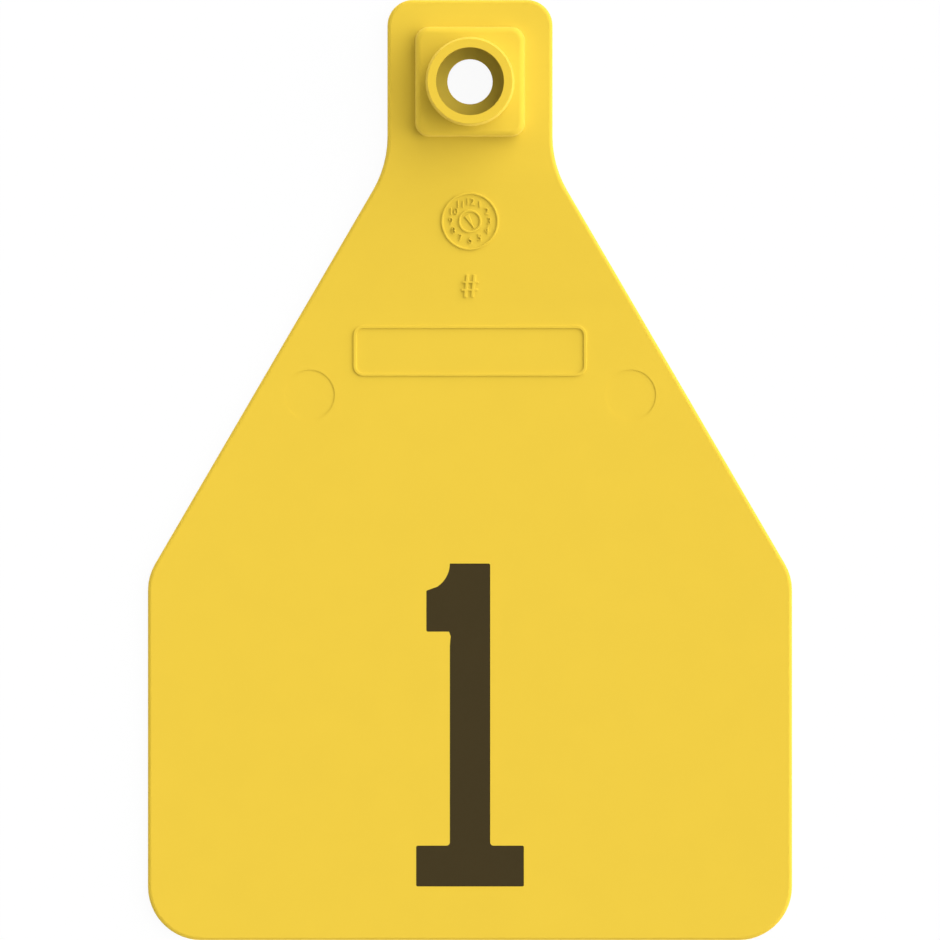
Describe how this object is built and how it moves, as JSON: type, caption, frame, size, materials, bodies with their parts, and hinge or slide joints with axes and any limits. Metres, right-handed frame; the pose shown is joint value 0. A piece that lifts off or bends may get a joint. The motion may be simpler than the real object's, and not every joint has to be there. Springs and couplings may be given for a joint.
{
  "type": "livestock ear tag",
  "caption": "Flexible yellow ear tag for cattle: wide flat panel with a printed numeral, narrow neck, square pad and round collar with a stud bore.",
  "frame": {"origin": "on the axis of the stud bore, at the flat back face of the tag", "axes": "+Z out of the front face along the stud bore, +Y towards the top of the neck, +X to the right of the numeral as it is read"},
  "size_m": [0.0762, 0.1112, 0.0095],
  "materials": {
    "yellow_polyurethane": "satin moulded flexible polyurethane, yellow",
    "numeral_ink": "matt brown-black marking ink"
  },
  "bodies": {
    "root": {"tag": "yellow_polyurethane", "number_print": "numeral_ink"}
  },
  "joints": []
}
